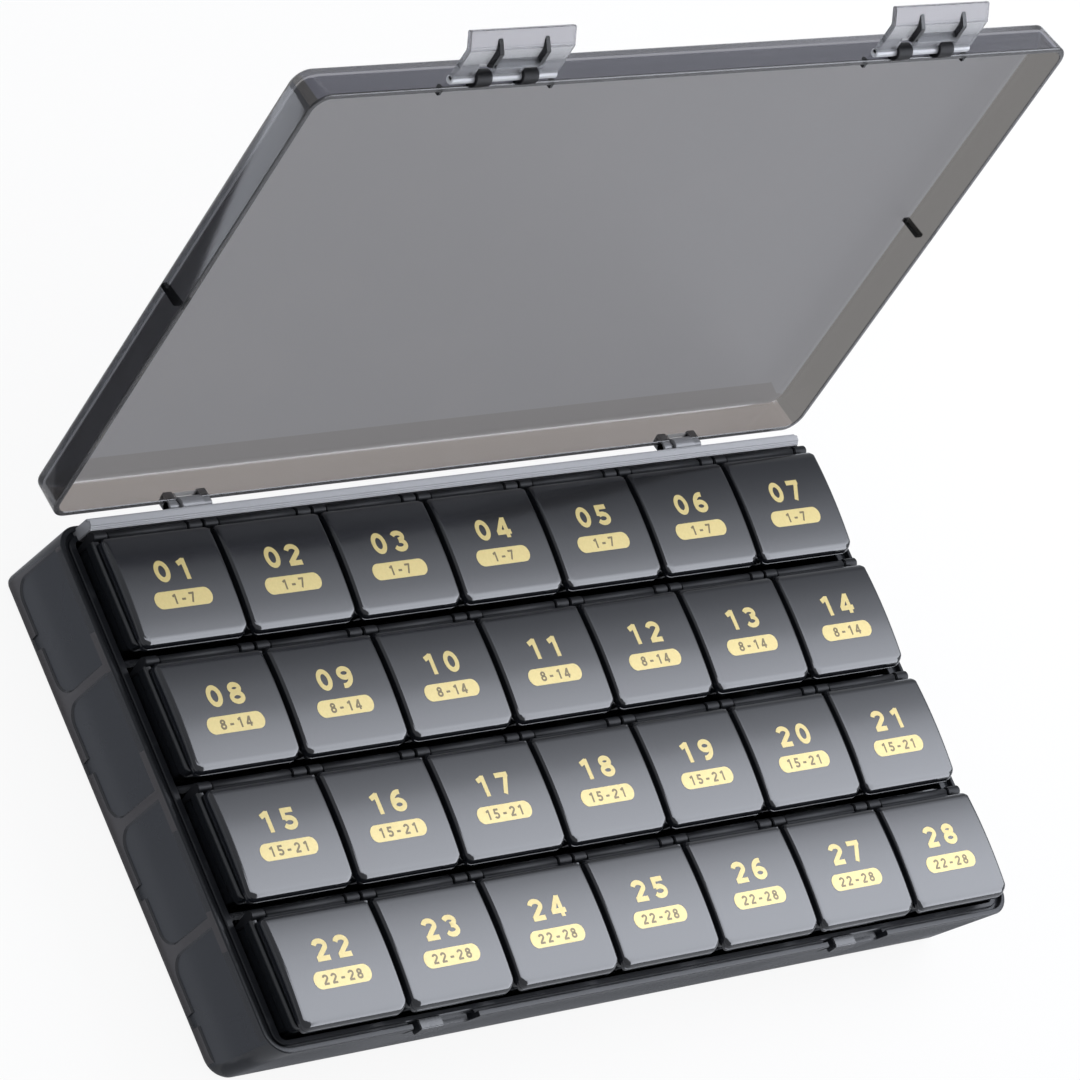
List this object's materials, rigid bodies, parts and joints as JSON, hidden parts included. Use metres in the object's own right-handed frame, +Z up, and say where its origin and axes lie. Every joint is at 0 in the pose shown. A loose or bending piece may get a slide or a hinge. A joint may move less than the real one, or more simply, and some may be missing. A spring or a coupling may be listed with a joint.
{
  "type": "monthly pill organizer",
  "caption": "Shallow black tray of lift-out pill boxes with flip lids, under a hinged smoke-grey clear cover with two snap latches.",
  "frame": {"origin": "centre of the tray's flat bottom", "axes": "+X along a week from day 1 to day 7, +Y from the latches to the cover's hinge, +Z up"},
  "size_m": [0.2196, 0.1582, 0.1486],
  "materials": {
    "tray_plastic": "gloss black moulded plastic",
    "box_plastic": "gloss black moulded plastic",
    "lid_plastic": "polished gloss black moulded plastic",
    "cover_smoke": "smoke-grey transparent moulded plastic",
    "latch_smoke": "light smoke-grey translucent moulded plastic"
  },
  "bodies": {
    "tray": {"tray": "tray_plastic"},
    "cover": {"cover": "cover_smoke"},
    "latch_left": {"latch_left": "latch_smoke"},
    "latch_right": {"latch_right": "latch_smoke"},
    "box_week4_day4": {"box_week4_day4": "box_plastic"},
    "lid_week4_day4": {"lid_week4_day4": "lid_plastic"},
    "box_week1_day1": {"box_week1_day1": "box_plastic"},
    "lid_week1_day1": {"lid_week1_day1": "lid_plastic"},
    "box_week1_day7": {"box_week1_day7": "box_plastic"},
    "lid_week1_day7": {"lid_week1_day7": "lid_plastic"},
    "box_week4_day1": {"box_week4_day1": "box_plastic"},
    "lid_week4_day1": {"lid_week4_day1": "lid_plastic"},
    "box_week4_day7": {"box_week4_day7": "box_plastic"},
    "lid_week4_day7": {"lid_week4_day7": "lid_plastic"},
    "box_week2_day4": {"box_week2_day4": "box_plastic"},
    "lid_week2_day4": {"lid_week2_day4": "lid_plastic"},
    "box_week3_day2": {"box_week3_day2": "box_plastic"},
    "lid_week3_day2": {"lid_week3_day2": "lid_plastic"},
    "box_week1_day2": {"box_week1_day2": "box_plastic"},
    "lid_week1_day2": {"lid_week1_day2": "lid_plastic"},
    "box_week1_day3": {"box_week1_day3": "box_plastic"},
    "lid_week1_day3": {"lid_week1_day3": "lid_plastic"},
    "box_week1_day4": {"box_week1_day4": "box_plastic"},
    "lid_week1_day4": {"lid_week1_day4": "lid_plastic"},
    "box_week1_day5": {"box_week1_day5": "box_plastic"},
    "lid_week1_day5": {"lid_week1_day5": "lid_plastic"},
    "box_week1_day6": {"box_week1_day6": "box_plastic"},
    "lid_week1_day6": {"lid_week1_day6": "lid_plastic"},
    "box_week2_day1": {"box_week2_day1": "box_plastic"},
    "lid_week2_day1": {"lid_week2_day1": "lid_plastic"},
    "box_week2_day2": {"box_week2_day2": "box_plastic"},
    "lid_week2_day2": {"lid_week2_day2": "lid_plastic"},
    "box_week2_day3": {"box_week2_day3": "box_plastic"},
    "lid_week2_day3": {"lid_week2_day3": "lid_plastic"},
    "box_week2_day5": {"box_week2_day5": "box_plastic"},
    "lid_week2_day5": {"lid_week2_day5": "lid_plastic"},
    "box_week2_day6": {"box_week2_day6": "box_plastic"},
    "lid_week2_day6": {"lid_week2_day6": "lid_plastic"},
    "box_week2_day7": {"box_week2_day7": "box_plastic"},
    "lid_week2_day7": {"lid_week2_day7": "lid_plastic"},
    "box_week3_day1": {"box_week3_day1": "box_plastic"},
    "lid_week3_day1": {"lid_week3_day1": "lid_plastic"},
    "box_week3_day3": {"box_week3_day3": "box_plastic"},
    "lid_week3_day3": {"lid_week3_day3": "lid_plastic"},
    "box_week3_day4": {"box_week3_day4": "box_plastic"},
    "lid_week3_day4": {"lid_week3_day4": "lid_plastic"},
    "box_week3_day5": {"box_week3_day5": "box_plastic"},
    "lid_week3_day5": {"lid_week3_day5": "lid_plastic"},
    "box_week3_day6": {"box_week3_day6": "box_plastic"},
    "lid_week3_day6": {"lid_week3_day6": "lid_plastic"},
    "box_week3_day7": {"box_week3_day7": "box_plastic"},
    "lid_week3_day7": {"lid_week3_day7": "lid_plastic"},
    "box_week4_day2": {"box_week4_day2": "box_plastic"},
    "lid_week4_day2": {"lid_week4_day2": "lid_plastic"},
    "box_week4_day3": {"box_week4_day3": "box_plastic"},
    "lid_week4_day3": {"lid_week4_day3": "lid_plastic"},
    "box_week4_day5": {"box_week4_day5": "box_plastic"},
    "lid_week4_day5": {"lid_week4_day5": "lid_plastic"},
    "box_week4_day6": {"box_week4_day6": "box_plastic"},
    "lid_week4_day6": {"lid_week4_day6": "lid_plastic"}
  },
  "joints": [
    {"name": "cover_hinge", "type": "hinge", "parent": "tray", "child": "cover", "pos_m": [0, 0.06035, 0.021], "axis": [-1, 0, 0], "range_deg": [-104.7, 0]},
    {"name": "latch_left_hinge", "type": "hinge", "parent": "cover", "child": "latch_left", "pos_m": [-0.061, 0.09236, 0.1379], "axis": [-1, 0, 0], "range_deg": [-90, 0]},
    {"name": "latch_right_hinge", "type": "hinge", "parent": "cover", "child": "latch_right", "pos_m": [0.061, 0.09236, 0.1379], "axis": [-1, 0, 0], "range_deg": [-90, 0]},
    {"name": "lid_week4_day4_hinge", "type": "hinge", "parent": "box_week4_day4", "child": "lid_week4_day4", "pos_m": [0, -0.0306, 0.0251], "axis": [-1, 0, 0], "range_deg": [0, 90]},
    {"name": "box_week4_day4_lift", "type": "slide", "parent": "tray", "child": "box_week4_day4", "axis": [0, 0, 1], "range_m": [0, 0.045]},
    {"name": "lid_week1_day1_hinge", "type": "hinge", "parent": "box_week1_day1", "child": "lid_week1_day1", "pos_m": [-0.09, 0.054, 0.0251], "axis": [-1, 0, 0], "range_deg": [0, 90]},
    {"name": "box_week1_day1_lift", "type": "slide", "parent": "tray", "child": "box_week1_day1", "axis": [0, 0, 1], "range_m": [0, 0.045]},
    {"name": "lid_week1_day7_hinge", "type": "hinge", "parent": "box_week1_day7", "child": "lid_week1_day7", "pos_m": [0.09, 0.054, 0.0251], "axis": [-1, 0, 0], "range_deg": [0, 90]},
    {"name": "box_week1_day7_lift", "type": "slide", "parent": "tray", "child": "box_week1_day7", "axis": [0, 0, 1], "range_m": [0, 0.045]},
    {"name": "lid_week4_day1_hinge", "type": "hinge", "parent": "box_week4_day1", "child": "lid_week4_day1", "pos_m": [-0.09, -0.0306, 0.0251], "axis": [-1, 0, 0], "range_deg": [0, 90]},
    {"name": "box_week4_day1_lift", "type": "slide", "parent": "tray", "child": "box_week4_day1", "axis": [0, 0, 1], "range_m": [0, 0.045]},
    {"name": "lid_week4_day7_hinge", "type": "hinge", "parent": "box_week4_day7", "child": "lid_week4_day7", "pos_m": [0.09, -0.0306, 0.0251], "axis": [-1, 0, 0], "range_deg": [0, 90]},
    {"name": "box_week4_day7_lift", "type": "slide", "parent": "tray", "child": "box_week4_day7", "axis": [0, 0, 1], "range_m": [0, 0.045]},
    {"name": "lid_week2_day4_hinge", "type": "hinge", "parent": "box_week2_day4", "child": "lid_week2_day4", "pos_m": [0, 0.0258, 0.0251], "axis": [-1, 0, 0], "range_deg": [0, 90]},
    {"name": "box_week2_day4_lift", "type": "slide", "parent": "tray", "child": "box_week2_day4", "axis": [0, 0, 1], "range_m": [0, 0.045]},
    {"name": "lid_week3_day2_hinge", "type": "hinge", "parent": "box_week3_day2", "child": "lid_week3_day2", "pos_m": [-0.06, -0.0024, 0.0251], "axis": [-1, 0, 0], "range_deg": [0, 90]},
    {"name": "box_week3_day2_lift", "type": "slide", "parent": "tray", "child": "box_week3_day2", "axis": [0, 0, 1], "range_m": [0, 0.045]},
    {"name": "lid_week1_day2_hinge", "type": "hinge", "parent": "box_week1_day2", "child": "lid_week1_day2", "pos_m": [-0.06, 0.054, 0.0251], "axis": [-1, 0, 0], "range_deg": [0, 90]},
    {"name": "box_week1_day2_lift", "type": "slide", "parent": "tray", "child": "box_week1_day2", "axis": [0, 0, 1], "range_m": [0, 0.045]},
    {"name": "lid_week1_day3_hinge", "type": "hinge", "parent": "box_week1_day3", "child": "lid_week1_day3", "pos_m": [-0.03, 0.054, 0.0251], "axis": [-1, 0, 0], "range_deg": [0, 90]},
    {"name": "box_week1_day3_lift", "type": "slide", "parent": "tray", "child": "box_week1_day3", "axis": [0, 0, 1], "range_m": [0, 0.045]},
    {"name": "lid_week1_day4_hinge", "type": "hinge", "parent": "box_week1_day4", "child": "lid_week1_day4", "pos_m": [0, 0.054, 0.0251], "axis": [-1, 0, 0], "range_deg": [0, 90]},
    {"name": "box_week1_day4_lift", "type": "slide", "parent": "tray", "child": "box_week1_day4", "axis": [0, 0, 1], "range_m": [0, 0.045]},
    {"name": "lid_week1_day5_hinge", "type": "hinge", "parent": "box_week1_day5", "child": "lid_week1_day5", "pos_m": [0.03, 0.054, 0.0251], "axis": [-1, 0, 0], "range_deg": [0, 90]},
    {"name": "box_week1_day5_lift", "type": "slide", "parent": "tray", "child": "box_week1_day5", "axis": [0, 0, 1], "range_m": [0, 0.045]},
    {"name": "lid_week1_day6_hinge", "type": "hinge", "parent": "box_week1_day6", "child": "lid_week1_day6", "pos_m": [0.06, 0.054, 0.0251], "axis": [-1, 0, 0], "range_deg": [0, 90]},
    {"name": "box_week1_day6_lift", "type": "slide", "parent": "tray", "child": "box_week1_day6", "axis": [0, 0, 1], "range_m": [0, 0.045]},
    {"name": "lid_week2_day1_hinge", "type": "hinge", "parent": "box_week2_day1", "child": "lid_week2_day1", "pos_m": [-0.09, 0.0258, 0.0251], "axis": [-1, 0, 0], "range_deg": [0, 90]},
    {"name": "box_week2_day1_lift", "type": "slide", "parent": "tray", "child": "box_week2_day1", "axis": [0, 0, 1], "range_m": [0, 0.045]},
    {"name": "lid_week2_day2_hinge", "type": "hinge", "parent": "box_week2_day2", "child": "lid_week2_day2", "pos_m": [-0.06, 0.0258, 0.0251], "axis": [-1, 0, 0], "range_deg": [0, 90]},
    {"name": "box_week2_day2_lift", "type": "slide", "parent": "tray", "child": "box_week2_day2", "axis": [0, 0, 1], "range_m": [0, 0.045]},
    {"name": "lid_week2_day3_hinge", "type": "hinge", "parent": "box_week2_day3", "child": "lid_week2_day3", "pos_m": [-0.03, 0.0258, 0.0251], "axis": [-1, 0, 0], "range_deg": [0, 90]},
    {"name": "box_week2_day3_lift", "type": "slide", "parent": "tray", "child": "box_week2_day3", "axis": [0, 0, 1], "range_m": [0, 0.045]},
    {"name": "lid_week2_day5_hinge", "type": "hinge", "parent": "box_week2_day5", "child": "lid_week2_day5", "pos_m": [0.03, 0.0258, 0.0251], "axis": [-1, 0, 0], "range_deg": [0, 90]},
    {"name": "box_week2_day5_lift", "type": "slide", "parent": "tray", "child": "box_week2_day5", "axis": [0, 0, 1], "range_m": [0, 0.045]},
    {"name": "lid_week2_day6_hinge", "type": "hinge", "parent": "box_week2_day6", "child": "lid_week2_day6", "pos_m": [0.06, 0.0258, 0.0251], "axis": [-1, 0, 0], "range_deg": [0, 90]},
    {"name": "box_week2_day6_lift", "type": "slide", "parent": "tray", "child": "box_week2_day6", "axis": [0, 0, 1], "range_m": [0, 0.045]},
    {"name": "lid_week2_day7_hinge", "type": "hinge", "parent": "box_week2_day7", "child": "lid_week2_day7", "pos_m": [0.09, 0.0258, 0.0251], "axis": [-1, 0, 0], "range_deg": [0, 90]},
    {"name": "box_week2_day7_lift", "type": "slide", "parent": "tray", "child": "box_week2_day7", "axis": [0, 0, 1], "range_m": [0, 0.045]},
    {"name": "lid_week3_day1_hinge", "type": "hinge", "parent": "box_week3_day1", "child": "lid_week3_day1", "pos_m": [-0.09, -0.0024, 0.0251], "axis": [-1, 0, 0], "range_deg": [0, 90]},
    {"name": "box_week3_day1_lift", "type": "slide", "parent": "tray", "child": "box_week3_day1", "axis": [0, 0, 1], "range_m": [0, 0.045]},
    {"name": "lid_week3_day3_hinge", "type": "hinge", "parent": "box_week3_day3", "child": "lid_week3_day3", "pos_m": [-0.03, -0.0024, 0.0251], "axis": [-1, 0, 0], "range_deg": [0, 90]},
    {"name": "box_week3_day3_lift", "type": "slide", "parent": "tray", "child": "box_week3_day3", "axis": [0, 0, 1], "range_m": [0, 0.045]},
    {"name": "lid_week3_day4_hinge", "type": "hinge", "parent": "box_week3_day4", "child": "lid_week3_day4", "pos_m": [0, -0.0024, 0.0251], "axis": [-1, 0, 0], "range_deg": [0, 90]},
    {"name": "box_week3_day4_lift", "type": "slide", "parent": "tray", "child": "box_week3_day4", "axis": [0, 0, 1], "range_m": [0, 0.045]},
    {"name": "lid_week3_day5_hinge", "type": "hinge", "parent": "box_week3_day5", "child": "lid_week3_day5", "pos_m": [0.03, -0.0024, 0.0251], "axis": [-1, 0, 0], "range_deg": [0, 90]},
    {"name": "box_week3_day5_lift", "type": "slide", "parent": "tray", "child": "box_week3_day5", "axis": [0, 0, 1], "range_m": [0, 0.045]},
    {"name": "lid_week3_day6_hinge", "type": "hinge", "parent": "box_week3_day6", "child": "lid_week3_day6", "pos_m": [0.06, -0.0024, 0.0251], "axis": [-1, 0, 0], "range_deg": [0, 90]},
    {"name": "box_week3_day6_lift", "type": "slide", "parent": "tray", "child": "box_week3_day6", "axis": [0, 0, 1], "range_m": [0, 0.045]},
    {"name": "lid_week3_day7_hinge", "type": "hinge", "parent": "box_week3_day7", "child": "lid_week3_day7", "pos_m": [0.09, -0.0024, 0.0251], "axis": [-1, 0, 0], "range_deg": [0, 90]},
    {"name": "box_week3_day7_lift", "type": "slide", "parent": "tray", "child": "box_week3_day7", "axis": [0, 0, 1], "range_m": [0, 0.045]},
    {"name": "lid_week4_day2_hinge", "type": "hinge", "parent": "box_week4_day2", "child": "lid_week4_day2", "pos_m": [-0.06, -0.0306, 0.0251], "axis": [-1, 0, 0], "range_deg": [0, 90]},
    {"name": "box_week4_day2_lift", "type": "slide", "parent": "tray", "child": "box_week4_day2", "axis": [0, 0, 1], "range_m": [0, 0.045]},
    {"name": "lid_week4_day3_hinge", "type": "hinge", "parent": "box_week4_day3", "child": "lid_week4_day3", "pos_m": [-0.03, -0.0306, 0.0251], "axis": [-1, 0, 0], "range_deg": [0, 90]},
    {"name": "box_week4_day3_lift", "type": "slide", "parent": "tray", "child": "box_week4_day3", "axis": [0, 0, 1], "range_m": [0, 0.045]},
    {"name": "lid_week4_day5_hinge", "type": "hinge", "parent": "box_week4_day5", "child": "lid_week4_day5", "pos_m": [0.03, -0.0306, 0.0251], "axis": [-1, 0, 0], "range_deg": [0, 90]},
    {"name": "box_week4_day5_lift", "type": "slide", "parent": "tray", "child": "box_week4_day5", "axis": [0, 0, 1], "range_m": [0, 0.045]},
    {"name": "lid_week4_day6_hinge", "type": "hinge", "parent": "box_week4_day6", "child": "lid_week4_day6", "pos_m": [0.06, -0.0306, 0.0251], "axis": [-1, 0, 0], "range_deg": [0, 90]},
    {"name": "box_week4_day6_lift", "type": "slide", "parent": "tray", "child": "box_week4_day6", "axis": [0, 0, 1], "range_m": [0, 0.045]}
  ]
}
